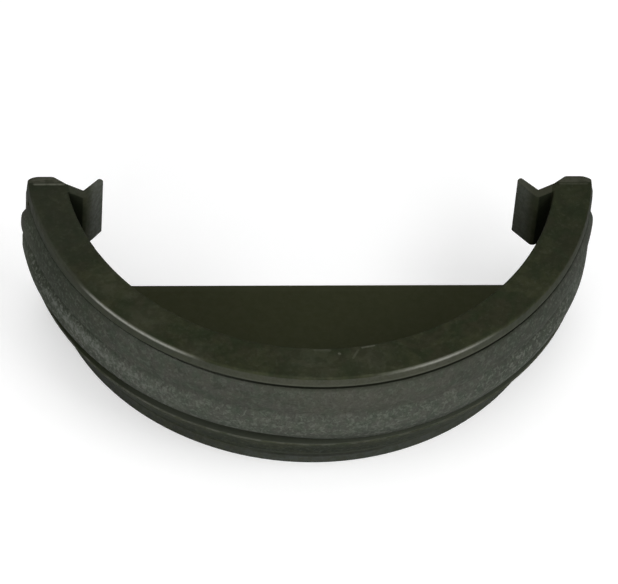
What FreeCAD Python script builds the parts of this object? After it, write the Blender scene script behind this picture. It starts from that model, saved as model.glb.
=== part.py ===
# Internal end cap for a half-round plastic gutter: one moulded cap and one rubber seal strip.
# All sizes are in millimetres. The cap lies on the outer face of its end plate, with Z up.
# Every arc is centred on the Z axis, which is the gutter's own centre line, and the arc opens to +Y.
import FreeCAD, Part
import math
import os

from FreeCAD import Vector

os.makedirs("parts", exist_ok=True)

# Gutter that the cap closes
gutter_inner_radius = 54.2
lip_clearance = 0.7
seal_squeeze = 0.45

# Curved wall and end plate
face_width = 7.1
wall_thickness = 2.2
cap_depth = 31.0
end_line_below_centre = 6.0
plate_thickness = 2.0
plate_foot_bevel = 0.7
plate_bevel_width = 1.8
plate_bevel_drop = 0.4

# Lip round the open face, with its outer side drafted outwards towards the seal
lip_thickness = 2.2
lip_draft = 0.3

# Tapered rim between the end plate and the seal
rim_top_height = 11.5
rim_band_height = 2.6
rim_edge_bevel = 0.3

# Rounding of the moulded edges
edge_radius = 0.35
base_edge_radius = 0.5

# Stops that close both ends of the seal's groove
stop_thickness = 2.3
stop_proud_of_lip = 0.1
stop_lead_height = 2.2

# Sloped nose on the end of each arm, with its inner corner cut off at a slant
nose_length = 2.7
nose_corner_radius = 2.4
nose_slant_width = 2.4
nose_slant_radius = 1.0
nose_slope_deg = 20.0

# V-shaped spring clip inside the end of each arm, seen from above
clip_thickness = 1.55
clip_tip_thickness = 1.2
clip_height = 13.9
clip_web_run = 3.15
clip_web_drop = 1.65
clip_tongue_length = 4.4
clip_tongue_angle_deg = 45.5
clip_root_in_wall = 1.2
clip_knee_radius = 0.9
clip_tip_radius = 0.5

# Seal strip: an upper and a lower lobe with a shallow valley between them
# A setback is measured inwards from the lower lobe, and a level is a share of the strip's height
seal_shoulder_setback = 1.0
seal_upper_lobe_setback = 0.3
seal_upper_lobe_level = 0.78
seal_valley_setback = 0.75
seal_valley_level = 0.55
seal_lower_lobe_level = 0.375
seal_heel_setback = 0.85
seal_heel_level = 0.156
seal_toe_width = 2.6
seal_end_radius = 0.8

# The strip is shorter than its groove and has slid up against the left-hand stop
seal_gap_left = 0.1
seal_gap_right = 1.2

# Places that follow from the sizes above
lip_radius = gutter_inner_radius - lip_clearance
wall_inner_radius = lip_radius - face_width
wall_outer_radius = wall_inner_radius + wall_thickness
mid_wall_radius = wall_inner_radius + wall_thickness / 2
lip_lower_radius = lip_radius + lip_draft
lip_underside = cap_depth - lip_thickness
stop_radius = lip_lower_radius + stop_proud_of_lip
seal_radius = gutter_inner_radius + seal_squeeze
end_line = -end_line_below_centre
groove_end = end_line - stop_thickness
reach = 2 * (seal_radius + cap_depth)

UP = Vector(0, 0, 1)
ORIGIN = Vector(0, 0, 0)
same_place = 1e-4


def chord_half_width(radius, line):
    """Half the width of a circle of this radius where it crosses the line y = line."""
    return math.sqrt(radius ** 2 - line ** 2)


def rounded_wire(corners):
    """Closed wire through (point, radius) corners, with a tangent arc wherever a radius is given."""
    starts = []
    edges = []
    count = len(corners)
    for index in range(count):
        before = corners[index - 1][0]
        point, radius = corners[index]
        after = corners[(index + 1) % count][0]
        into = (point - before).normalize()
        out = (after - point).normalize()
        half_turn = into.getAngle(out) / 2
        setback = radius * math.tan(half_turn)
        first = point - into * setback
        last = point + out * setback
        starts.append((first, last))
        if radius > 0:
            towards_centre = (out - into).normalize()
            middle = point + towards_centre * (radius / math.cos(half_turn) - radius)
            edges.append(Part.Arc(first, middle, last).toShape())
    for index in range(count):
        last = starts[index - 1][1]
        first = starts[index][0]
        if last.distanceToPoint(first) > same_place:
            edges.append(Part.makeLine(last, first))
    return Part.Wire(Part.__sortEdges__(edges))


def half_turn_solid(wire):
    """Solid swept by a section in the XZ plane over the half circle on the -Y side."""
    return Part.Face(wire).revolve(ORIGIN, -UP, 180)


def slab_between(y_low, y_high):
    """Block that covers the whole cap between two lines across it."""
    corner = Vector(-reach / 2, y_low, -reach / 2)
    return Part.makeBox(reach, y_high - y_low, reach, corner)


def section_point(radius, height):
    return Vector(radius, 0, height)


def cap_section():
    """Plate, wall, lip and tapered rim as one closed section."""
    band_top = section_point(wall_outer_radius, rim_band_height)
    rim_edge = section_point(lip_radius, rim_top_height)
    down_the_taper = (band_top - rim_edge).normalize() * rim_edge_bevel
    return rounded_wire([
        (section_point(0, 0), 0),
        (section_point(wall_outer_radius, 0), base_edge_radius),
        (band_top, 0),
        (rim_edge + down_the_taper, 0),
        (section_point(lip_radius - rim_edge_bevel, rim_top_height), 0),
        (section_point(wall_outer_radius, rim_top_height), 0),
        (section_point(wall_outer_radius, lip_underside), 0),
        (section_point(lip_lower_radius, lip_underside), 0),
        (section_point(lip_radius, cap_depth), edge_radius),
        (section_point(wall_inner_radius, cap_depth), edge_radius),
        (section_point(wall_inner_radius, plate_thickness + plate_foot_bevel), 0),
        (section_point(wall_inner_radius - plate_foot_bevel, plate_thickness), 0),
        (section_point(0, plate_thickness), 0),
    ])


def plate_bevel():
    """Shallow wedge taken off the top of the end plate along its straight edge."""
    inner = end_line - plate_bevel_width
    top = plate_thickness
    half = chord_half_width(wall_inner_radius - plate_foot_bevel, inner)
    wire = Part.makePolygon([
        Vector(-half, inner, top),
        Vector(-half, end_line, top),
        Vector(-half, end_line, top - plate_bevel_drop),
        Vector(-half, inner, top),
    ])
    return Part.Face(wire).extrude(Vector(2 * half, 0, 0))


def groove_stops():
    """Short blocks that close the groove at both arm ends and hold the seal in."""
    wire = rounded_wire([
        (section_point(mid_wall_radius, rim_top_height - edge_radius), 0),
        (section_point(lip_radius - edge_radius, rim_top_height - edge_radius), 0),
        (section_point(stop_radius, rim_top_height + stop_lead_height), edge_radius),
        (section_point(stop_radius, lip_underside), 0),
        (section_point(lip_radius, cap_depth - edge_radius), 0),
        (section_point(mid_wall_radius, cap_depth - edge_radius), 0),
    ])
    return half_turn_solid(wire).common(slab_between(end_line - stop_thickness, end_line))


def nose_blank():
    """Straight run of the lip beyond the end line of the right arm, before its corners are rounded."""
    wire = rounded_wire([
        (section_point(wall_inner_radius, lip_underside), 0),
        (section_point(lip_lower_radius, lip_underside), 0),
        (section_point(lip_radius, cap_depth), edge_radius),
        (section_point(wall_inner_radius, cap_depth), edge_radius),
    ])
    lip = half_turn_solid(wire).common(slab_between(-reach / 2, end_line))
    ends = [face for face in lip.Faces if abs(face.BoundBox.YMin - end_line) < same_place]
    right_end = max(ends, key=lambda face: face.CenterOfMass.x)
    return right_end.extrude(Vector(0, nose_length, 0))


def nose_outline():
    """Plan of the right-hand nose, with its free corners rounded, as a tall block."""
    inside = chord_half_width(wall_inner_radius, end_line)
    outside = chord_half_width(lip_lower_radius, end_line)
    far = end_line + nose_length
    wire = rounded_wire([
        (Vector(inside, end_line, 0), 0),
        (Vector(outside, end_line, 0), 0),
        (Vector(outside, far, 0), nose_corner_radius),
        (Vector(inside + nose_slant_width, far, 0), nose_slant_radius),
    ])
    return Part.Face(wire).extrude(Vector(0, 0, 2 * cap_depth))


def nose_slope():
    """Wedge above the nose, which slopes down from the end line."""
    drop = nose_length * math.tan(math.radians(nose_slope_deg))
    far = end_line + nose_length
    wire = Part.makePolygon([
        Vector(-reach / 2, end_line, cap_depth),
        Vector(-reach / 2, far, cap_depth - drop),
        Vector(-reach / 2, far, cap_depth + drop),
        Vector(-reach / 2, end_line, cap_depth),
    ])
    return Part.Face(wire).extrude(Vector(reach, 0, 0))


def nose():
    """Right-hand nose: the rolled edge of the gutter rides up over its slope."""
    return nose_blank().common(nose_outline()).cut(nose_slope())


def spring_clip():
    """Right-hand V clip: a web off the arm's inner corner, and a tongue that springs back from it."""
    corner = Vector(chord_half_width(wall_inner_radius, end_line), end_line, 0)
    knee = corner - Vector(clip_web_run, clip_web_drop, 0)
    angle = math.radians(clip_tongue_angle_deg)
    along_tongue = Vector(-math.cos(angle), math.sin(angle), 0)
    along_web = (corner - knee).normalize()
    tip = knee + along_tongue * clip_tongue_length
    across_tongue = Vector(-math.sin(angle), -math.cos(angle), 0)
    half_bend = along_web.getAngle(along_tongue) / 2
    outward = (along_web + along_tongue).normalize() * -1
    outer_knee = knee + outward * (clip_thickness / math.sin(half_bend))
    root_x = corner.x + clip_root_in_wall
    root_y = outer_knee.y + along_web.y / along_web.x * (root_x - outer_knee.x)
    wire = rounded_wire([
        (corner, 0),
        (knee, 0),
        (tip, clip_tip_radius),
        (tip + across_tongue * clip_tip_thickness, clip_tip_radius),
        (outer_knee, clip_knee_radius),
        (Vector(root_x, root_y, 0), 0),
        (Vector(root_x, end_line, 0), 0),
    ])
    clip = Part.Face(wire).extrude(Vector(0, 0, clip_height))
    clip.translate(Vector(0, 0, cap_depth - clip_height))
    return clip


def mirrored(shape):
    """The same shape on the other arm."""
    return shape.mirror(ORIGIN, Vector(1, 0, 0))


def end_cap():
    body = half_turn_solid(cap_section()).common(slab_between(-reach / 2, end_line))
    body = body.cut(plate_bevel())
    right = [nose(), spring_clip()]
    left = [mirrored(shape) for shape in right]
    return body.fuse([groove_stops()] + right + left).removeSplitter()


def seal_point(setback, level):
    """Point on the strip's outer side, from its setback and its share of the strip's height."""
    height = rim_top_height + level * (lip_underside - rim_top_height)
    return section_point(seal_radius - setback, height)


def seal_section():
    """Section of the seal: flat on the groove's floor, with two lobes that stand out past the lip."""
    back = wall_outer_radius
    top = lip_underside
    foot = rim_top_height
    toe = section_point(back + seal_toe_width, foot)
    heel = seal_point(seal_heel_setback, seal_heel_level)
    lower_lobe = seal_point(0, seal_lower_lobe_level)
    valley = seal_point(seal_valley_setback, seal_valley_level)
    upper_lobe = seal_point(seal_upper_lobe_setback, seal_upper_lobe_level)
    shoulder = seal_point(seal_shoulder_setback, 1)
    edges = [
        Part.makeLine(section_point(back, foot), toe),
        Part.makeLine(toe, heel),
        Part.Arc(heel, lower_lobe, valley).toShape(),
        Part.Arc(valley, upper_lobe, shoulder).toShape(),
        Part.makeLine(shoulder, section_point(back, top)),
        Part.makeLine(section_point(back, top), section_point(back, foot)),
    ]
    return Part.Wire(edges)


def on_outer_end(edge, left_end, right_end):
    """True for the edges that bound an end of the strip on its outer side."""
    box = edge.BoundBox
    line = left_end if edge.CenterOfMass.x < 0 else right_end
    in_end_plane = abs(box.YMin - line) < same_place and abs(box.YMax - line) < same_place
    toe_radius = wall_outer_radius + seal_toe_width
    return in_end_plane and abs(edge.CenterOfMass.x) > chord_half_width(toe_radius, line)


def seal():
    """The strip, cut square at both ends, with the outer corners of the ends rounded."""
    left_end = groove_end - seal_gap_left
    right_end = groove_end - seal_gap_right
    strip = half_turn_solid(seal_section()).common(slab_between(-reach / 2, left_end))
    slack = Part.makeBox(reach / 2, left_end - right_end, reach, Vector(0, right_end, -reach / 2))
    strip = strip.cut(slack)
    corners = [edge for edge in strip.Edges if on_outer_end(edge, left_end, right_end)]
    return strip.makeFillet(seal_end_radius, corners)


def save(shape, node):
    """Write one node and print its size, so that a change can be followed."""
    box = shape.BoundBox
    print(node, "solids", len(shape.Solids), "volume", round(shape.Volume, 1),
          "box", [round(v, 2) for v in (box.XMin, box.XMax, box.YMin, box.YMax, box.ZMin, box.ZMax)],
          "valid", shape.isValid())
    shape.exportStep("parts/" + node + ".step")


save(end_cap(), "end_cap")
save(seal(), "seal")
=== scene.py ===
"""Looks of a half-round gutter end cap: dark olive moulded plastic with a grey rubber seal strip.

Lengths are written in millimetres and turned into metres by MM, except for those of the studio. The Z axis is
the centre line of all the arcs, +Y points to the gutter's open top, and the cap lies on the outer face of its
end plate. Azimuths are in degrees, 0 at the front and growing to the right.
"""
import math

import bpy
import numpy as np
from mathutils import Matrix, Vector


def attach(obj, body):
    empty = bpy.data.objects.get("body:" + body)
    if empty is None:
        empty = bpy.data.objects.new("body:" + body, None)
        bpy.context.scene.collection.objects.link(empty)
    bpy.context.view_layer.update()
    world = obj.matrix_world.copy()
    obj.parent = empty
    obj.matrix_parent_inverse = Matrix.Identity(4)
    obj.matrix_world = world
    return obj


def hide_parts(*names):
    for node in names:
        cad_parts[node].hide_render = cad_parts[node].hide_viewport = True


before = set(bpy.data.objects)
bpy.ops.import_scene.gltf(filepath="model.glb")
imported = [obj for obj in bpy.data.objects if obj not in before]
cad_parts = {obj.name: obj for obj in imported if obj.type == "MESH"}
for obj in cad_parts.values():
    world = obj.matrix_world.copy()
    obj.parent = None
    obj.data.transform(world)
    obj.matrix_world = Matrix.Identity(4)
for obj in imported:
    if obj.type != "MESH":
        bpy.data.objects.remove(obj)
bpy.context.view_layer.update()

MM = 0.001

# Where the front is, in degrees counted from the X axis
FRONT_TURN = 270.0

# The cap's section, as in the solid
LIP_RADIUS = 53.5
LIP_FOOT_RADIUS = 53.8
WALL_OUTER_RADIUS = 48.6
CAP_DEPTH = 31.0
LIP_UNDERSIDE = 28.8
RIM_TOP = 11.5
RIM_CREASE = 2.6
PLATE_TOP = 2.0
END_LINE = -6.0
PLATE_REACH = 46.0
CLIP_REACH = 46.2
CLIP_KNEE = 42.9
CLIP_FRONT = -9.5

# Shading of the solid's mesh: what counts as one point, in millimetres, and as a sharp edge, in degrees, and
# how much large faces count
WELD_GAP = 0.002
CREASE_ANGLE = 50.0
NORMAL_WEIGHT = 100

# The seal strip: radius and height of each point of its section, and where its ends are
SEAL_BACK_RADIUS = 48.6
SEAL_TOE = (51.2, 11.5)
SEAL_HEEL = (53.8, 14.2)
SEAL_LOWER_LOBE = (54.65, 18.0)
SEAL_VALLEY = (53.9, 21.0)
SEAL_UPPER_LOBE = (54.35, 25.0)
SEAL_SHOULDER = (53.72, 28.1)
SEAL_GROOVE = (53.33, 27.78)
SEAL_GROOVE_DEPTH = 0.5
SEAL_TOP = 28.8
SEAL_LEFT_END = -8.4
SEAL_RIGHT_END = -9.5

# Mesh of the strip: step of its outer side and along its run, of its hidden sides and of its back
SEAL_STEP = 0.32
SEAL_SIDE_STEP = 1.5
SEAL_BACK_STEP = 4.0

# What the uneven parts of the strip go by: radii and a height that they start from, and pairs of heights between
# which they grow or fade
SEAL_TOE_INSIDE = SEAL_TOE[0] - 0.1
SEAL_OUTSIDE = SEAL_GROOVE[0] + 0.01
SEAL_GROOVE_INSIDE = SEAL_GROOVE[0] - 0.01
SEAL_BELOW_TOP = SEAL_TOP - 0.1
SEAL_LOBE_HEIGHTS = (SEAL_LOWER_LOBE[1], SEAL_UPPER_LOBE[1] - 1.5)
SEAL_TOE_HEIGHTS = (SEAL_TOE[1], SEAL_HEEL[1])
SEAL_SHOULDER_HEIGHTS = (SEAL_SHOULDER[1] - 2.2, SEAL_SHOULDER[1])
SEAL_RISE_HEIGHTS = (SEAL_SHOULDER[1] - 1.6, SEAL_SHOULDER[1] - 0.3)

# The strip's ends: the radius of their rounding, how far the lower and the upper lobe swell out at the left end
# and at the right one, how far the two swells reach along the strip, and by how much the valley fills at the
# left end, over what height
SEAL_END_ROUND = 0.75
SEAL_LEFT_SWELL = (0.15, 0.90)
SEAL_RIGHT_SWELL = (-0.40, 0.20)
SEAL_SWELL_RUNS = (5.5, 9.0)
SEAL_VALLEY_FILL = 0.30
SEAL_FILL_REACH = 1.6

# The fuller lower side at the left: how far it swells out, its middle azimuth and its reach in degrees
SEAL_SIDE_SWELL = 0.42
SEAL_SIDE_MIDDLE = -71.0
SEAL_SIDE_REACH = 8.0

# The toe that spreads over the rim toward the right, and the shoulder that closes the groove toward the left,
# each with the azimuths between which it grows or fades
SEAL_TOE_SPREAD = 1.25
SEAL_TOE_AZIMUTHS = (-20.0, 14.0)
SEAL_SHOULDER_RISE = 0.42
SEAL_RISE_AZIMUTHS = (-42.0, -20.0)

# How the tables of the two materials are read.
# Fields are x, y, side, radius and height in millimetres, turn and away in degrees, and the names given in the
# tables. Side is the distance from the middle plane, turn the azimuth and away its size without the sign.
# A rule is a number, a field, or a field with two to five numbers:
#   low, high: a smooth rise from 0 to 1 between them
#   low, high, start, end: the same, from start to end
#   low, high, soft: a band of 1 between low and high, with soft ends
#   low, high, soft, outside, inside: the same, with these strengths
# Rules in a row are multiplied. A tone is red, green and blue, or a list: a first tone, then pairs of a rule
# and the tone that it brings in.

# Noises on the plastic: waves to the millimetre, detail, roughness and distortion
PLASTIC_NOISES = {
    "patches": (0.17, 3.0, 0.55, 0.8),
    "waves": (0.22, 2.0, 0.5),
    "tint": (0.26, 3.0, 0.55, 0.5),
    "flaws": (0.5, 3.0, 0.6),
    "clouds": (0.60, 3.0, 0.55, 0.4),
    "blotches": (0.75, 4.0, 0.65, 0.5),
    "sheen": (0.8, 4.0, 0.6),
    # Breaks up the scuffs and the painted highlight lines
    "wear": (1.1, 3.0, 0.6),
    "specks": (1.3, 3.0, 0.6),
    "speckle": (1.5, 3.0, 0.6),
    "grit": (1.6, 3.0, 0.65),
    "grain": (2.6, 3.0, 0.65),
}

# Edges of the plastic that run round the part: radius and height, then the reach
PLASTIC_EDGES = {
    "crease": ((WALL_OUTER_RADIUS, RIM_CREASE - 0.22), 0.45),
    "rim_edge": ((LIP_RADIUS - 0.15, RIM_TOP - 0.1), 0.45),
    "lip_edge": ((LIP_RADIUS, CAP_DEPTH - 0.40), 0.52),
    "lip_corner": ((LIP_RADIUS, CAP_DEPTH), 0.6),
    "lip_foot": ((LIP_FOOT_RADIUS, LIP_UNDERSIDE), 0.6),
    "wide_lip_foot": ((LIP_FOOT_RADIUS, LIP_UNDERSIDE), 1.3),
}

# Stretches of the lip's edge that are polished and carry a painted highlight
POLISHED_AND_HIGHLIT_STRETCHES = [
    ("turn", -52.0, -28.0, 5.0),
    ("turn", 16.0, 33.0, 8.0, 0.0, 0.85),
]

# Areas of the plastic. Each may name the ones above it
PLASTIC_AREAS = {
    "top": [("height", CAP_DEPTH - 0.4, CAP_DEPTH - 0.2)],
    "plate": [("height", PLATE_TOP + 0.1, PLATE_TOP + 0.3, 1.0, 0.0),
              ("radius", PLATE_REACH, PLATE_REACH + 0.4, 1.0, 0.0)],
    "outside": [("radius", WALL_OUTER_RADIUS - 0.1, WALL_OUTER_RADIUS + 0.1)],
    "taper": ["outside", ("height", RIM_CREASE, RIM_TOP - 0.3, 0.12)],
    "foot": [("radius", WALL_OUTER_RADIUS - 1.5, WALL_OUTER_RADIUS - 1.0),
             ("height", RIM_CREASE - 0.2, RIM_CREASE, 1.0, 0.0)],
    "ledge": ["outside", ("height", RIM_TOP - 0.05, RIM_TOP + 0.2, 0.05)],
    "lip": [("radius", LIP_RADIUS - 0.15, LIP_RADIUS),
            ("height", LIP_UNDERSIDE - 0.1, CAP_DEPTH - 0.55, 0.1)],
    "clip": [("radius", CLIP_REACH - 0.15, CLIP_REACH - 0.05, 1.0, 0.0),
             ("y", CLIP_FRONT - 0.5, CLIP_FRONT - 0.1)],
    "tongue": ["clip", ("height", PLATE_TOP + 2.0, PLATE_TOP + 3.0)],
    "clip_top": ["clip", ("height", CAP_DEPTH - 0.3, CAP_DEPTH - 0.1)],
    "web": ["clip", ("side", CLIP_KNEE - 0.1, CLIP_KNEE + 0.2),
            ("height", CAP_DEPTH - 0.35, CAP_DEPTH - 0.15, 1.0, 0.0)],
    "nose": [("y", END_LINE + 0.2, END_LINE + 0.7), ("radius", CLIP_REACH, CLIP_REACH + 0.4)],
    # Polished stretches of the lip's edge, which also carry a painted highlight in the coats below
    "polish": ["lip_edge", "rubbed", ("grit", 0.34, 0.54, 0.75, 1.0)],
}

# Coats of the plastic over its first tone, in order: name, tone and rules
PLASTIC_FIRST = (0.0205, 0.0212, 0.0102)
PLASTIC_COATS = [
    ("green patches", (0.0155, 0.0205, 0.0082), ("tint", 0.40, 0.60)),
    ("light patches", (0.0265, 0.0295, 0.0130), ("patches", 0.44, 0.60, 0.0, 0.7)),
    ("dark clouds", (0.0105, 0.0130, 0.0045), ("clouds", 0.42, 0.60, 0.0, 0.40)),
    ("pale spots", (0.038, 0.040, 0.025), "pale", ("clouds", 0.40, 0.56, 1.0, 0.5), "top", 0.55),
    ("left arm", (0.0165, 0.0195, 0.0125), "top", ("turn", -66.0, -52.0, 0.5, 0.0)),
    ("right arm", (0.008, 0.012, 0.005), "top", ("turn", 50.0, 68.0, 0.0, 0.28)),
    ("dust", (0.050, 0.053, 0.036), ("speckle", 0.50, 0.70, 0.0, 0.22), ("patches", 0.36, 0.56, 0.4, 1.0)),
    # The plate's own smoother tone, with painted light toward the right that lifts the shade of the wall there
    ("plate", [(0.0265, 0.0290, 0.0120), (("x", 5.0, 35.0), (0.0350, 0.0380, 0.0165))], "plate", 0.80),
    # Painted highlight on the strip along the plate's straight edge
    ("plate front", (0.034, 0.036, 0.018), "plate", ("y", END_LINE - 1.9, END_LINE - 1.7), 0.30),
    # Painted shade on the undercut taper: dark in blotches, weaker toward the right and near its top
    ("taper", (0.004, 0.0065, 0.0030), "taper", ("blotches", 0.38, 0.62, 0.95, 0.30),
     ("turn", 34.0, 50.0, 1.0, 0.25), ("height", 7.5, 10.0, 1.0, 0.55)),
    # Painted light and shade on the foot band, in blotches: dark at the left, lighter in front, a little less light
    # at the right
    ("foot", [(0.0150, 0.0170, 0.0155), (("turn", -35.0, -5.0), (0.0350, 0.0390, 0.0355)),
              (("turn", 12.0, 30.0), (0.0270, 0.0300, 0.0270))], "foot", ("blotches", 0.38, 0.62, 0.35, 0.75)),
    ("rim flecks", (0.050, 0.056, 0.050), "rim", ("grit", 0.52, 0.66, 0.0, 0.40), ("turn", 12.0, 30.0, 1.0, 0.55)),
    # Painted light on the ledge under the seal, against the shade of its overhang, weak at the left
    ("ledge", (0.050, 0.056, 0.041), "ledge", ("turn", -58.0, -30.0, 0.10, 0.90)),
    # Painted light just above the crease in front, against its shade
    ("above crease", (0.0360, 0.0400, 0.0310), "outside", ("turn", -16.0, 44.0, 8.0),
     ("height", RIM_CREASE + 0.3, RIM_CREASE + 1.8, 0.4), 0.55),
    # Painted shade along the crease, in front only
    ("crease", (0.004, 0.005, 0.002), "crease", ("turn", -13.0, 16.0, 5.0, 0.05, 0.75)),
    # The lip side's lighter tone, with painted light in front and painted shade toward the right end
    ("lip", [(0.0300, 0.0330, 0.0250), (("turn", -20.0, 34.0, 16.0), (0.0440, 0.0455, 0.0345)),
             (("turn", 56.0, 74.0, 0.0, 0.75), (0.0150, 0.0175, 0.0120))], "lip", ("grit", 0.38, 0.62, 0.45, 0.80)),
    ("dull edge", (0.0360, 0.0390, 0.0290), "lip_corner", ("turn", -78.0, -54.0, 5.0), 0.75),
    # Painted highlight along the lip's lower edge, in front
    ("lip foot", (0.062, 0.065, 0.050), "lip_foot", ("turn", -20.0, 34.0, 16.0, 0.10, 0.45)),
    # Painted shade on the lip's lower side toward the groove, at the left
    ("left lip foot", (0.0130, 0.0160, 0.0100), "wide_lip_foot", ("turn", -74.0, -60.0, 5.0), 0.70),
    # Light speckled dust on the tongues, with painted light: strongest toward their tips and on the left tongue
    ("tongue", (0.078, 0.084, 0.072), "tongue", ("side", CLIP_KNEE - 2.4, CLIP_KNEE - 0.8, 1.0, 0.12),
     ("x", -10.0, 10.0, 1.0, 0.55), ("specks", 0.40, 0.60, 0.65, 1.0)),
    ("clip top", (0.043, 0.043, 0.029), "clip_top", ("x", -10.0, 10.0, 0.20, 0.55)),
    # Painted shade on the web, in the pocket between the arm and the tongue
    ("web", (0.004, 0.006, 0.002), "web", 0.75),
    # Painted light on the noses at the arms' ends, in clouds
    ("nose", (0.062, 0.063, 0.045), "nose", ("clouds", 0.40, 0.60, 0.80, 0.40)),
    # The rim's top edge, worn light, with a painted highlight, stronger at the left than at the right
    ("rim edge", (0.078, 0.080, 0.068), "rim_edge", ("turn", -30.0, 30.0, 0.65, 0.35),
     ("flaws", 0.40, 0.60, 0.25, 1.0)),
    # Painted highlight on the polished stretches of the lip's edge
    ("polish", (0.150, 0.152, 0.120), "polish", 0.75),
]

# Pale spots on the top face: middle and reach
PALE_SPOTS = [
    ((-39.4, -31.0, 31.0), 5.5),
    ((-38.0, -27.5, 31.0), 3.5),
    ((-34.5, -33.5, 31.0), 3.0),
    ((-32.0, -39.0, 31.0), 7.0),
    ((-22.9, -47.0, 31.0), 4.0),
    ((-2.0, -50.2, 31.0), 9.0),
    ((8.5, -49.2, 31.0), 7.0),
]

# Scuffs on the top face, and painted highlight lines along the noses' edges: strength, start, end and half
# width, then their tone, how they break up and what share of the width is at full strength
SCUFFS_AND_HIGHLIGHTS = [
    (0.25, (-1.3, -46.8, 31.0), (1.4, -46.9, 31.0), 0.45),
    (0.60, (3.1, -47.7, 31.0), (3.2, -47.8, 31.0), 0.35),
    (0.45, (7.4, -46.3, 31.0), (9.6, -45.8, 31.0), 0.30),
    (0.25, (5.6, -48.8, 31.0), (6.6, -46.9, 31.0), 0.30),
    # Painted highlight lines on the noses, along their partly worn edges
    (0.85, (-52.0, -6.05, 31.0), (-46.6, -6.05, 31.0), 0.40),
    (0.35, (-52.4, -4.6, 30.5), (-49.0, -4.0, 30.3), 0.45),
    (0.25, (47.2, -6.05, 31.0), (52.2, -6.05, 31.0), 0.40),
]
SCUFF_AND_HIGHLIGHT_TONE = (0.105, 0.108, 0.082)
SCUFF_AND_HIGHLIGHT_BREAKS = ("wear", 0.36, 0.56, 0.60, 1.0)
LINE_MARK_CORE = 0.3

# Surface of the plastic: roughness by rules, bumps as field, height and strength, and the shader's values
PLASTIC_ROUGHNESS = [("sheen", 0.3, 0.7, 0.72, 0.88), ("polish", 0.2, 0.8, 1.0, 0.45)]
PLASTIC_BUMPS = [("grain", 0.020, 0.5), ("waves", 0.12, 0.5)]
PLASTIC_SHADER = {"Coat Roughness": 0.32, "Coat IOR": 1.9, "IOR": 1.5, "Specular IOR Level": 0.13}

# Noises on the rubber, as for the plastic. The rosy one is taken at a shifted place
RUBBER_NOISES = {
    "mottle": (0.30, 4.0, 0.6, 0.4),
    "hue": (0.45, 3.0, 0.55),
    "flecks": (1.05, 3.0, 0.6, 0.6),
    "fine": (1.9, 4.0, 0.7),
}
ROSY_NOISE = (0.40, 3.0, 0.55)
ROSY_SHIFT = (0.3, 0.1, 0.2)

# Light dots on the rubber: cells to the millimetre, rules for the round ones by the distance from a cell's point
# (spread) and a value for each cell (chance), and all dots, where the largest value counts
DOT_CELLS = 1.6
ROUND_DOTS = [("chance", 0.50, 1.0, 0.0, 0.8), ("spread", 0.20, 0.60, 1.0, 0.0)]
DOTS = ["round_dots", ("fine", 0.52, 0.68, 0.0, 0.5), ("flecks", 0.50, 0.64, 0.0, 0.9)]

# Edges of the rubber. The ragged reach is the flecks times the first number plus the second
RUBBER_EDGES = {
    "valley": (SEAL_VALLEY, 1.1),
    "groove": (SEAL_GROOVE, ("turn", -16.0, 12.0, 0.75, 0.95)),
    "soft_line": (SEAL_SHOULDER, "ragged"),
}
RAGGED_REACH = (3.6, -0.6)

# What repeats in the coats of the rubber, first the heights between which the lower lobe ends
LOBE_BORDER = (SEAL_VALLEY[1] - 0.9, SEAL_VALLEY[1] + 0.2)
SHADE_TONE = (0.0180, 0.0220, 0.0155)
# Tone and breakup of the painted highlights along the lower lobe's ridge
RIDGE_HIGHLIGHT_TONE = (0.096, 0.104, 0.090)
RIDGE_HIGHLIGHT_BREAKS = ("flecks", 0.40, 0.58, 0.20, 1.0)

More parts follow.
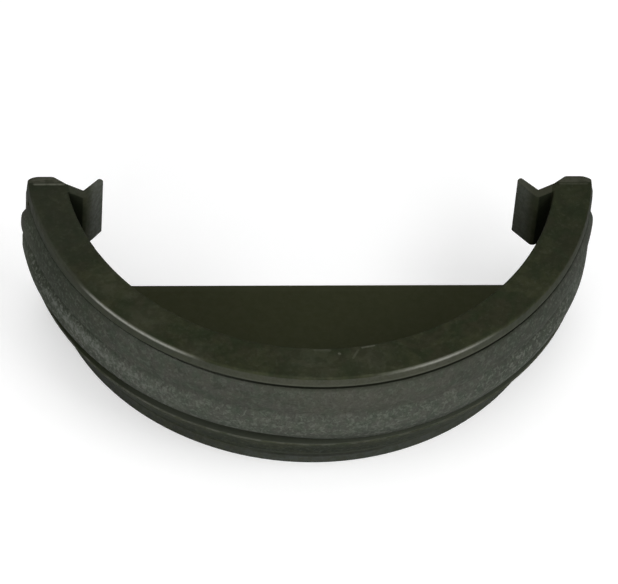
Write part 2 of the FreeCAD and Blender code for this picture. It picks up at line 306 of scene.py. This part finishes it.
# Coats of the rubber over its first tone, in order
RUBBER_FIRST = [(0.0300, 0.0335, 0.0258), (("mottle", 0.38, 0.62), (0.0405, 0.0425, 0.0330))]
RUBBER_COATS = [
    ("lower lobe", [(0.0385, 0.0440, 0.0345), (("mottle", 0.38, 0.62), (0.0510, 0.0560, 0.0440))],
     ("height", *LOBE_BORDER, 1.0, 0.0)),
    ("green patches", (0.0335, 0.0430, 0.0310), ("hue", 0.44, 0.60, 0.0, 0.55)),
    ("rosy patches", (0.0455, 0.0445, 0.0385), ("rosy", 0.47, 0.60, 0.0, 0.50)),
    # Painted light on the upper seal in front
    ("front", (0.0560, 0.0555, 0.0430), ("turn", -6.0, 24.0, 10.0), ("height", 20.0, 22.0, 0.0, 0.30)),
    # Painted shade on the seal's left side, mostly above the lower lobe
    ("left side", (0.0175, 0.0228, 0.0125), ("turn", -76.0, -48.0, 6.0), ("height", 18.5, 20.5, 0.10, 0.42)),
    ("left end", (0.0290, 0.0350, 0.0200), ("turn", -78.0, -62.0, 0.40, 0.0)),
    ("rosy end", (0.0430, 0.0385, 0.0330), ("turn", -80.5, -77.0, 0.60, 0.0), ("height", 20.0, 23.0)),
    ("left shade", (0.0150, 0.0190, 0.0120), ("turn", -72.0, -58.0, 4.0), 0.42),
    # Painted shade on the heel below the lower lobe, at the left
    ("left heel", (0.0120, 0.0150, 0.0100), ("turn", -74.0, -44.0, 8.0),
     ("height", SEAL_HEEL[1], SEAL_HEEL[1] + 3.6, 0.75, 0.0)),
    ("left valley", SHADE_TONE, "valley", ("turn", -52.0, -34.0, 0.50, 0.0)),
    ("right valley", SHADE_TONE, "valley", ("turn", 46.0, 58.0, 4.0), 0.30),
    ("right side", SHADE_TONE, ("turn", 38.0, 68.0, 7.0), ("height", 16.5, 19.5, 0.12, 0.28)),
    # Painted shade on the toe under the lower lobe, stronger at the left
    ("toe", (0.0180, 0.0210, 0.0155), ("height", SEAL_HEEL[1] - 0.6, SEAL_HEEL[1] + 2.4, 0.58, 0.0),
     ("turn", -50.0, -14.0, 1.45, 1.0)),
    ("dots", (0.114, 0.121, 0.102), "dots", ("height", *LOBE_BORDER, 0.44, 0.20), ("away", 24.0, 58.0, 1.0, 1.6)),
    # Painted highlights along the lower lobe's ridge, broken up by the flecks
    ("left rub", RIDGE_HIGHLIGHT_TONE, ("turn", -66.0, -44.0, 3.0), ("height", 18.3, 20.0, 0.6), RIDGE_HIGHLIGHT_BREAKS, 0.80),
    ("front left rub", RIDGE_HIGHLIGHT_TONE, ("turn", -42.0, -30.0, 5.0), ("height", 17.4, 19.6, 0.8), RIDGE_HIGHLIGHT_BREAKS, 0.35),
    ("right rub", RIDGE_HIGHLIGHT_TONE, ("turn", 61.0, 69.0, 3.0), ("height", 18.6, 21.6, 0.7), RIDGE_HIGHLIGHT_BREAKS, 0.35),
    ("front rub", RIDGE_HIGHLIGHT_TONE, ("turn", 4.0, 16.0, 4.0), ("height", 16.8, 18.2, 0.7), RIDGE_HIGHLIGHT_BREAKS, 0.20),
    ("pores", (0.020, 0.023, 0.016), ("fine", 0.34, 0.48, 0.50, 0.0)),
    # Under the lip: painted light in the groove at the left, painted shade in front and at the right
    ("groove", [(0.0480, 0.0530, 0.0400), (("turn", -30.0, -5.0), (0.0150, 0.0170, 0.0100))], "groove"),
    # Painted shade in a ragged line under the lip, at the left
    ("soft line", (0.0150, 0.0190, 0.0110), "soft_line", ("turn", -44.0, -28.0, 0.40, 0.0)),
]
RUBBER_ROUGHNESS = [("fine", 0.3, 0.7, 0.84, 0.98)]
RUBBER_BUMPS = [("fine", 0.06, 0.7), ("mottle", 0.15, 0.5)]
RUBBER_SHADER = {"Specular IOR Level": 0.10}

# The studio: name, azimuth, elevation, distance, width, height and radiance of each softbox, in degrees and metres
LIGHTS = [
    ("front_light", -4, 34, 2.0, 2.5, 2.5, 1.1),
    ("front_strip", 0, 12, 2.0, 2.6, 0.8, 3.5),
    ("front_left_light", -30, 55, 2.0, 1.2, 1.2, 1.0),
    ("right_light", 54, 48, 0.9, 0.50, 0.26, 6.0),
    ("left_light", -70, 42, 0.9, 0.36, 0.20, 4.0),
    ("right_strip", 90, 12, 2.0, 1.4, 0.8, 1.15),
    ("left_back_light", -120, 50, 2.0, 1.4, 1.4, 0.25),
    ("right_back_light", 120, 50, 2.0, 1.4, 1.4, 0.30),
    ("back_light", 180, 50, 2.0, 1.4, 1.4, 1.1),
    ("top_light", 0, 86, 2.0, 1.4, 1.4, 0.9),
]
ROOM_LEVEL = 0.02
FLOOR_HALF = 4.0
FLOOR_TONE = 0.78
FLOOR_GLOW = 0.35

# The camera: what it looks at, its distance and angles, its lens, and how near and far it sees in metres
PHOTO_WIDTH = 618
CAMERA_TARGET = (1.22, -6.3, 0.0)
CAMERA_DISTANCE = 1000.0
CAMERA_AZIMUTH = -6.32
CAMERA_ELEVATION = 49.25
CAMERA_ROLL = 4.62
FOCAL_PIXELS = 5190.0
SENSOR_WIDTH = 36.0
CAMERA_NEAR = 0.1
CAMERA_FAR = 20.0


class Graph:
    """A material's or world's node tree, with one short method for each kind of node that it uses."""

    def __init__(self, owner):
        owner.use_nodes = True
        self.tree = owner.node_tree
        self.tree.nodes.clear()
        kind = "ShaderNodeOutputWorld" if isinstance(owner, bpy.types.World) else "ShaderNodeOutputMaterial"
        self.output = self.tree.nodes.new(kind)

    def node(self, kind, **settings):
        made = self.tree.nodes.new(kind)
        for name, value in settings.items():
            setattr(made, name, value)
        return made

    def link(self, source, target):
        self.tree.links.new(source, target)

    def feed(self, socket, value):
        """Gives a socket a number, a colour or another node's output."""
        if isinstance(value, bpy.types.NodeSocket):
            self.link(value, socket)
        else:
            socket.default_value = value

    def place(self):
        """The point in the part's own frame, in metres."""
        return self.node("ShaderNodeTexCoord").outputs["Object"]

    def math(self, operation, first, second=0.0, third=0.0, clamp=False):
        made = self.node("ShaderNodeMath", operation=operation, use_clamp=clamp)
        for socket, value in zip(made.inputs, (first, second, third)):
            self.feed(socket, value)
        return made.outputs[0]

    def vector(self, operation, first, second=(0.0, 0.0, 0.0)):
        made = self.node("ShaderNodeVectorMath", operation=operation)
        self.feed(made.inputs[0], first)
        self.feed(made.inputs[1], second)
        return made.outputs["Value" if operation in ("LENGTH", "DOT_PRODUCT") else "Vector"]

    def scaled(self, vector, factor):
        made = self.node("ShaderNodeVectorMath", operation="SCALE")
        self.feed(made.inputs[0], vector)
        self.feed(made.inputs["Scale"], factor)
        return made.outputs["Vector"]

    def split(self, vector):
        made = self.node("ShaderNodeSeparateXYZ")
        self.link(vector, made.inputs[0])
        return made.outputs

    def noise(self, vector, scale, detail, roughness, distortion=0.0):
        """Noise from about 0 to 1. The scale is in waves to the millimetre."""
        made = self.node("ShaderNodeTexNoise")
        self.link(vector, made.inputs["Vector"])
        made.inputs["Scale"].default_value = scale / MM
        made.inputs["Detail"].default_value = detail
        made.inputs["Roughness"].default_value = roughness
        made.inputs["Distortion"].default_value = distortion
        return made.outputs["Fac"]

    def cells(self, vector, scale):
        """Distance to the nearest of many scattered points, in cells, and a random value for each cell."""
        made = self.node("ShaderNodeTexVoronoi")
        self.link(vector, made.inputs["Vector"])
        made.inputs["Scale"].default_value = scale / MM
        return made.outputs["Distance"], self.split(made.outputs["Color"])[0]

    def step(self, value, low, high, start=0.0, end=1.0):
        """A smooth run from start to end, while the value goes from low to high."""
        made = self.node("ShaderNodeMapRange", interpolation_type="SMOOTHSTEP")
        for socket, number in zip(made.inputs, (value, low, high, start, end)):
            self.feed(socket, number)
        return made.outputs[0]

    def band(self, value, low, high, soft, outside=0.0, inside=1.0):
        """The inside strength between low and high, with soft ends, and the outside one elsewhere."""
        rise = self.step(value, low - soft, low + soft)
        fall = self.step(value, high - soft, high + soft, 1.0, 0.0)
        share = self.math("MULTIPLY", rise, fall)
        if (outside, inside) == (0.0, 1.0):
            return share
        return self.math("MULTIPLY_ADD", share, inside - outside, outside)

    def blend(self, share, first, second, label=""):
        """Mix of two colours."""
        made = self.node("ShaderNodeMix", data_type="RGBA", label=label)
        self.feed(made.inputs[0], share)
        self.feed(made.inputs[6], first)
        self.feed(made.inputs[7], second)
        return made.outputs[2]

    def bump(self, height, distance, strength, normal):
        """Bump on top of another one, if there is one. A height of 1 stands for the distance in millimetres."""
        made = self.node("ShaderNodeBump")
        made.inputs["Strength"].default_value = strength
        made.inputs["Distance"].default_value = distance * MM
        self.link(height, made.inputs["Height"])
        if normal is not None:
            self.link(normal, made.inputs["Normal"])
        return made.outputs[0]


def colour(red, green, blue):
    return (red, green, blue, 1.0)


def spot(graph, place, centre, reach):
    """1 at a point of the part, falling to 0 at the reach. Both in millimetres."""
    middle = tuple(value * MM for value in centre)
    gap = graph.vector("LENGTH", graph.vector("SUBTRACT", place, middle))
    return graph.step(gap, 0.0, reach * MM, 1.0, 0.0)


def scuff(graph, place, start, end, width):
    """1 along a short line on the surface, falling to 0 at its width. In millimetres."""
    first = Vector(start) * MM
    run = Vector(end) * MM - first
    offset = graph.vector("SUBTRACT", place, tuple(first))
    share = graph.math("DIVIDE", graph.vector("DOT_PRODUCT", offset, tuple(run)), run.length_squared, clamp=True)
    nearest = graph.scaled(tuple(run), share)
    gap = graph.vector("LENGTH", graph.vector("SUBTRACT", offset, nearest))
    return graph.step(gap, LINE_MARK_CORE * width * MM, width * MM, 1.0, 0.0)


class Skin:
    """A material that is painted coat by coat over a first tone, by the rules that stand above the tables."""

    def __init__(self, name, noises, first):
        self.material = bpy.data.materials.new(name)
        graph = self.graph = Graph(self.material)
        self.place = graph.place()
        x, y, z = graph.split(self.place)
        flat = graph.node("ShaderNodeCombineXYZ")
        graph.link(x, flat.inputs[0])
        graph.link(y, flat.inputs[1])
        radians = graph.math("ARCTAN2", x, graph.math("MULTIPLY", y, -1.0))
        self.fields = {
            "radius": graph.math("DIVIDE", graph.vector("LENGTH", flat.outputs[0]), MM),
            "height": graph.math("DIVIDE", z, MM),
            "turn": graph.math("MULTIPLY", radians, 180 / math.pi),
            "x": graph.math("DIVIDE", x, MM),
            "y": graph.math("DIVIDE", y, MM),
        }
        self.fields["side"] = graph.math("ABSOLUTE", self.fields["x"])
        self.fields["away"] = graph.math("ABSOLUTE", self.fields["turn"])
        for field, settings in noises.items():
            self.fields[field] = graph.noise(self.place, *settings)
        self.base = self.tone(first)

    def value(self, rule):
        """What one rule gives. A node's output may stand for a rule too."""
        if isinstance(rule, str):
            return self.fields[rule]
        if not isinstance(rule, tuple):
            return rule
        field, *numbers = rule
        shape = self.graph.band if len(numbers) in (3, 5) else self.graph.step
        return shape(self.fields[field], *numbers)

    def share(self, rules):
        """The product of what the rules give."""
        result = self.value(rules[0])
        for rule in rules[1:]:
            result = self.graph.math("MULTIPLY", result, self.value(rule))
        return result

    def largest(self, rules):
        """The largest of what the rules give."""
        result = self.value(rules[0])
        for rule in rules[1:]:
            result = self.graph.math("MAXIMUM", result, self.value(rule))
        return result

    def near_edge(self, edge, reach):
        """1 on an edge that runs round the part, falling to 0 at the reach. The edge is (radius, height)."""
        graph = self.graph
        across = graph.math("SUBTRACT", self.fields["radius"], edge[0])
        up = graph.math("SUBTRACT", self.fields["height"], edge[1])
        gap = graph.math("SQRT", graph.math("ADD", graph.math("MULTIPLY", across, across),
                                            graph.math("MULTIPLY", up, up)))
        return graph.step(gap, 0.0, self.value(reach), 1.0, 0.0)

    def tone(self, tone):
        """A tone's colour, mixed if the tone is a list."""
        if isinstance(tone, tuple):
            return colour(*tone)
        mixed = colour(*tone[0])
        for rule, other in tone[1:]:
            mixed = self.graph.blend(self.value(rule), mixed, colour(*other))
        return mixed

    def add_edges(self, edges):
        for field, (edge, reach) in edges.items():
            self.fields[field] = self.near_edge(edge, reach)

    def add_areas(self, areas):
        for field, rules in areas.items():
            self.fields[field] = self.share(rules)

    def paint(self, coats):
        """Lays coats over the base, each a name, a tone and rules."""
        for name, tone, *rules in coats:
            self.base = self.graph.blend(self.share(rules), self.base, self.tone(tone), name)

    def shade(self, rough, bumps, values):
        """Ends the material with one shader. The values are by the names of its sockets."""
        graph = self.graph
        normal = None
        for field, distance, strength in bumps:
            normal = graph.bump(self.fields[field], distance, strength, normal)
        shader = graph.node("ShaderNodeBsdfPrincipled")
        graph.link(self.base, shader.inputs["Base Color"])
        graph.link(rough, shader.inputs["Roughness"])
        graph.link(normal, shader.inputs["Normal"])
        for socket, value in values.items():
            graph.feed(shader.inputs[socket], value)
        graph.link(shader.outputs[0], graph.output.inputs["Surface"])


def cap_plastic():
    """Dark olive plastic with soft green and brown patches, dust, scuffs and polished edges, with painted
    highlights on the lip's edges, the rim's edge and the noses, and painted light and shade by side, in the crease,
    on the taper, under the lip and on the web.
    """
    skin = Skin("cap_plastic", PLASTIC_NOISES, PLASTIC_FIRST)
    skin.fields["pale"] = skin.largest([spot(skin.graph, skin.place, *row) for row in PALE_SPOTS])
    skin.fields["rubbed"] = skin.largest(POLISHED_AND_HIGHLIT_STRETCHES)
    skin.add_edges(PLASTIC_EDGES)
    skin.add_areas(PLASTIC_AREAS)
    skin.fields["rim"] = skin.largest(["taper", "foot"])
    skin.paint(PLASTIC_COATS)
    # Scuffs, and the painted highlight lines on the noses
    skin.paint([("scuff", SCUFF_AND_HIGHLIGHT_TONE, scuff(skin.graph, skin.place, *line), SCUFF_AND_HIGHLIGHT_BREAKS, strength)
                for strength, *line in SCUFFS_AND_HIGHLIGHTS])
    rough = skin.largest([skin.share(PLASTIC_ROUGHNESS), "taper"])
    skin.shade(rough, PLASTIC_BUMPS, {**PLASTIC_SHADER, "Coat Weight": skin.fields["polish"]})
    return skin.material


def seal_rubber():
    """Matt grey-green rubber with a fine light speckle, soft mottling and dust, with painted light in front,
    painted shade at the sides, under the lobes, in the valley and under the lip, and painted highlights along the
    lower lobe.
    """
    skin = Skin("seal_rubber", RUBBER_NOISES, RUBBER_FIRST)
    graph = skin.graph
    skin.fields["rosy"] = graph.noise(graph.vector("ADD", skin.place, ROSY_SHIFT), *ROSY_NOISE)
    skin.fields["spread"], skin.fields["chance"] = graph.cells(skin.place, DOT_CELLS)
    skin.fields["round_dots"] = skin.share(ROUND_DOTS)
    skin.fields["dots"] = skin.largest(DOTS)
    skin.fields["ragged"] = graph.math("MULTIPLY_ADD", skin.fields["flecks"], *RAGGED_REACH)
    skin.add_edges(RUBBER_EDGES)
    skin.paint(RUBBER_COATS)
    skin.shade(skin.share(RUBBER_ROUGHNESS), RUBBER_BUMPS, RUBBER_SHADER)
    return skin.material


def arc_points(first, middle, last, step):
    """Points along the arc through three points of the section, the last one left out."""
    (ax, ay), (bx, by), (cx, cy) = first, middle, last
    double = 2 * (ax * (by - cy) + bx * (cy - ay) + cx * (ay - by))
    ux = ((ax**2 + ay**2) * (by - cy) + (bx**2 + by**2) * (cy - ay) + (cx**2 + cy**2) * (ay - by)) / double
    uy = ((ax**2 + ay**2) * (cx - bx) + (bx**2 + by**2) * (ax - cx) + (cx**2 + cy**2) * (bx - ax)) / double
    radius = math.hypot(ax - ux, ay - uy)
    start = math.atan2(ay - uy, ax - ux)
    end = math.atan2(cy - uy, cx - ux)
    count = max(2, round(abs(end - start) * radius / step))
    turns = [start + (end - start) * k / count for k in range(count)]
    return [(ux + radius * math.cos(t), uy + radius * math.sin(t)) for t in turns]


def line_points(first, last, step):
    """Points along a straight line of the section, the last one left out."""
    length = math.hypot(last[0] - first[0], last[1] - first[1])
    count = max(1, round(length / step))
    return [(first[0] + (last[0] - first[0]) * k / count, first[1] + (last[1] - first[1]) * k / count)
            for k in range(count)]


def smooth(value, low, high):
    """A smooth rise from 0 to 1, while the value goes from low to high."""
    share = np.clip((value - low) / (high - low), 0.0, 1.0)
    return share * share * (3 - 2 * share)


def seal_section():
    """The strip's closed section as (radius, height) points in millimetres, outer side first."""
    back_low = (SEAL_BACK_RADIUS, SEAL_TOE[1])
    back_high = (SEAL_BACK_RADIUS, SEAL_TOP)
    far_side = (SEAL_GROOVE[0] - SEAL_GROOVE_DEPTH, SEAL_TOP)
    points = line_points(SEAL_TOE, SEAL_HEEL, SEAL_STEP)
    points += arc_points(SEAL_HEEL, SEAL_LOWER_LOBE, SEAL_VALLEY, SEAL_STEP)
    points += arc_points(SEAL_VALLEY, SEAL_UPPER_LOBE, SEAL_SHOULDER, SEAL_STEP)
    points += line_points(SEAL_SHOULDER, SEAL_GROOVE, SEAL_STEP)
    points += line_points(SEAL_GROOVE, far_side, SEAL_STEP)
    points += line_points(far_side, back_high, SEAL_SIDE_STEP)
    points += line_points(back_high, back_low, SEAL_BACK_STEP)
    points += line_points(back_low, SEAL_TOE, SEAL_SIDE_STEP)
    return np.array(points)


def end_inset(from_end):
    """How far the outer side draws in at this distance from an end of the strip, to round its edge."""
    if from_end >= SEAL_END_ROUND:
        return 0.0
    return SEAL_END_ROUND - math.sqrt(SEAL_END_ROUND**2 - (SEAL_END_ROUND - from_end) ** 2)


def seal_points(section, count):
    """The strip's points in millimetres: one copy of the section at each of count + 1 places along its run."""
    radius = section[:, 0]
    height = section[:, 1]
    left = np.pi + np.arcsin(-SEAL_LEFT_END / radius)
    right = 2 * np.pi - np.arcsin(-SEAL_RIGHT_END / radius)
    toe = np.clip((SEAL_HEEL[1] - height) / (SEAL_HEEL[1] - SEAL_TOE[1]), 0, 1)
    toe = toe * (radius > SEAL_TOE_INSIDE)
    outer = (radius > SEAL_OUTSIDE) | (toe > 0)
    upper = smooth(height, *SEAL_LOBE_HEIGHTS)
    full = smooth(height, *SEAL_TOE_HEIGHTS) * (1 - smooth(height, *SEAL_SHOULDER_HEIGHTS))
    fill = SEAL_VALLEY_FILL * np.exp(-(((height - SEAL_VALLEY[1]) / SEAL_FILL_REACH) ** 2))
    left_swell = SEAL_LEFT_SWELL[0] + (SEAL_LEFT_SWELL[1] - SEAL_LEFT_SWELL[0]) * upper + fill
    right_swell = SEAL_RIGHT_SWELL[0] + (SEAL_RIGHT_SWELL[1] - SEAL_RIGHT_SWELL[0]) * upper
    rise = SEAL_SHOULDER_RISE * smooth(height, *SEAL_RISE_HEIGHTS) * (height < SEAL_BELOW_TOP)
    rise = rise * (radius > SEAL_GROOVE_INSIDE)
    length = math.pi * LIP_RADIUS
    rows = []
    for share in np.linspace(0.0, 1.0, count + 1):
        turn = left + (right - left) * share
        azimuth = np.degrees(turn) - FRONT_TURN
        inset = end_inset(min(share, 1 - share) * length)
        swell = left_swell * math.exp(-((share * length / SEAL_SWELL_RUNS[0]) ** 2))
        swell = swell + right_swell * math.exp(-(((1 - share) * length / SEAL_SWELL_RUNS[1]) ** 2))
        side = np.exp(-(((azimuth - SEAL_SIDE_MIDDLE) / SEAL_SIDE_REACH) ** 2))
        swell = swell + SEAL_SIDE_SWELL * side * (1 - upper)
        spread = SEAL_TOE_SPREAD * smooth(azimuth, *SEAL_TOE_AZIMUTHS)
        run = radius + (swell * full - inset) * outer + spread * toe
        level = height + rise * (1 - smooth(azimuth, *SEAL_RISE_AZIMUTHS))
        rows.append(np.stack([run * np.cos(turn), run * np.sin(turn), level], axis=1))
    return np.concatenate(rows)


def seal_strip():
    """The seal strip as one closed mesh, swept round the centre line."""
    section = seal_section()
    width = len(section)
    count = round(math.pi * LIP_RADIUS / SEAL_STEP)
    points = seal_points(section, count) * MM
    faces = []
    for row in range(count):
        a = row * width
        b = a + width
        for k in range(width):
            after = (k + 1) % width
            faces.append((a + k, b + k, b + after, a + after))
    faces.append(tuple(range(width)))
    faces.append(tuple(count * width + k for k in reversed(range(width))))
    mesh = bpy.data.meshes.new("seal_strip")
    mesh.from_pydata(points.tolist(), [], faces)
    mesh.validate()
    mesh.shade_smooth()
    made = bpy.data.objects.new("seal_strip", mesh)
    bpy.context.scene.collection.objects.link(made)
    made.data.materials.append(seal_rubber())
    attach(made, "root")
    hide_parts("seal")


def crisp_edges():
    """Node group that keeps an edge sharp where its two faces meet at more than CREASE_ANGLE."""
    group = bpy.data.node_groups.new("crisp_edges", "GeometryNodeTree")
    group.interface.new_socket("Geometry", in_out="INPUT", socket_type="NodeSocketGeometry")
    group.interface.new_socket("Geometry", in_out="OUTPUT", socket_type="NodeSocketGeometry")
    start = group.nodes.new("NodeGroupInput")
    end = group.nodes.new("NodeGroupOutput")
    angle = group.nodes.new("GeometryNodeInputMeshEdgeAngle")
    compare = group.nodes.new("FunctionNodeCompare")
    compare.operation = "LESS_EQUAL"
    compare.inputs[1].default_value = math.radians(CREASE_ANGLE)
    all_faces = group.nodes.new("GeometryNodeSetShadeSmooth")
    by_angle = group.nodes.new("GeometryNodeSetShadeSmooth")
    by_angle.domain = "EDGE"
    group.links.new(start.outputs[0], all_faces.inputs[0])
    group.links.new(all_faces.outputs[0], by_angle.inputs[0])
    group.links.new(angle.outputs["Unsigned Angle"], compare.inputs[0])
    group.links.new(compare.outputs[0], by_angle.inputs["Shade Smooth"])
    group.links.new(by_angle.outputs[0], end.inputs[0])
    return group


def dress_cap():
    """Gives the moulding its material, and shading that follows its faces and rounded edges."""
    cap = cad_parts["end_cap"]
    weld = cap.modifiers.new("weld", "WELD")
    weld.merge_threshold = WELD_GAP * MM
    crisp = cap.modifiers.new("crisp_edges", "NODES")
    crisp.node_group = crisp_edges()
    shading = cap.modifiers.new("shading", "WEIGHTED_NORMAL")
    shading.mode = "FACE_AREA"
    shading.weight = NORMAL_WEIGHT
    shading.keep_sharp = True
    plastic = cap_plastic()
    for place in cap.material_slots:
        place.material = plastic


def white_floor():
    """A pale floor that shows white and keeps the object's shadow."""
    material = bpy.data.materials.new("floor")
    graph = Graph(material)
    diffuse = graph.node("ShaderNodeBsdfDiffuse")
    diffuse.inputs["Color"].default_value = colour(FLOOR_TONE, FLOOR_TONE, FLOOR_TONE)
    glow = graph.node("ShaderNodeEmission")
    path = graph.node("ShaderNodeLightPath")
    seen = graph.math("MAXIMUM", path.outputs["Is Camera Ray"], path.outputs["Is Glossy Ray"])
    seen = graph.math("MAXIMUM", seen, path.outputs["Is Transmission Ray"])
    graph.link(graph.math("MULTIPLY", seen, FLOOR_GLOW), glow.inputs["Strength"])
    both = graph.node("ShaderNodeAddShader")
    graph.link(diffuse.outputs[0], both.inputs[0])
    graph.link(glow.outputs[0], both.inputs[1])
    graph.link(both.outputs[0], graph.output.inputs["Surface"])
    half = FLOOR_HALF
    mesh = bpy.data.meshes.new("floor")
    mesh.from_pydata([(-half, -half, 0), (half, -half, 0), (half, half, 0), (-half, half, 0)], [], [(0, 1, 2, 3)])
    mesh.materials.append(material)
    floor = bpy.data.objects.new("floor", mesh)
    bpy.context.scene.collection.objects.link(floor)


def direction(azimuth, elevation):
    """The way from the part to this azimuth and elevation in degrees, with a length of 1."""
    a = math.radians(azimuth)
    e = math.radians(elevation)
    return Vector((math.sin(a) * math.cos(e), -math.cos(a) * math.cos(e), math.sin(e)))


def softbox(name, azimuth, elevation, distance, width, height, radiance):
    """A soft light that faces the part. The radiance is how bright its own face is."""
    light = bpy.data.lights.new(name, "AREA")
    light.shape = "RECTANGLE"
    light.size = width
    light.size_y = height
    light.energy = radiance * math.pi * width * height
    made = bpy.data.objects.new(name, light)
    back = direction(azimuth, elevation)
    made.location = back * distance
    made.rotation_mode = "QUATERNION"
    made.rotation_quaternion = back.to_track_quat("Z", "Y")
    made.visible_camera = False
    bpy.context.scene.collection.objects.link(made)


def studio_world():
    """The dim room round the softboxes."""
    world = bpy.data.worlds.new("studio")
    graph = Graph(world)
    background = graph.node("ShaderNodeBackground")
    background.inputs["Strength"].default_value = ROOM_LEVEL
    graph.link(background.outputs[0], graph.output.inputs["Surface"])
    bpy.context.scene.world = world


def photo_camera():
    """The camera that took the photograph, as its arcs and edges give it."""
    azimuth = math.radians(CAMERA_AZIMUTH)
    roll = math.radians(CAMERA_ROLL)
    back = direction(CAMERA_AZIMUTH, CAMERA_ELEVATION)
    level = Vector((math.cos(azimuth), math.sin(azimuth), 0.0))
    above = back.cross(level)
    right = math.cos(roll) * level + math.sin(roll) * above
    up = -math.sin(roll) * level + math.cos(roll) * above
    location = (Vector(CAMERA_TARGET) + CAMERA_DISTANCE * back) * MM
    data = bpy.data.cameras.new("camera")
    data.sensor_width = SENSOR_WIDTH
    data.lens = FOCAL_PIXELS / PHOTO_WIDTH * SENSOR_WIDTH
    data.clip_start = CAMERA_NEAR
    data.clip_end = CAMERA_FAR
    made = bpy.data.objects.new("camera", data)
    columns = Matrix((right, up, back)).transposed()
    made.matrix_world = Matrix.Translation(location) @ columns.to_4x4()
    bpy.context.scene.collection.objects.link(made)
    bpy.context.scene.camera = made


dress_cap()
seal_strip()
white_floor()
for light in LIGHTS:
    softbox(*light)
studio_world()
photo_camera()
bpy.context.scene.view_settings.view_transform = "Standard"
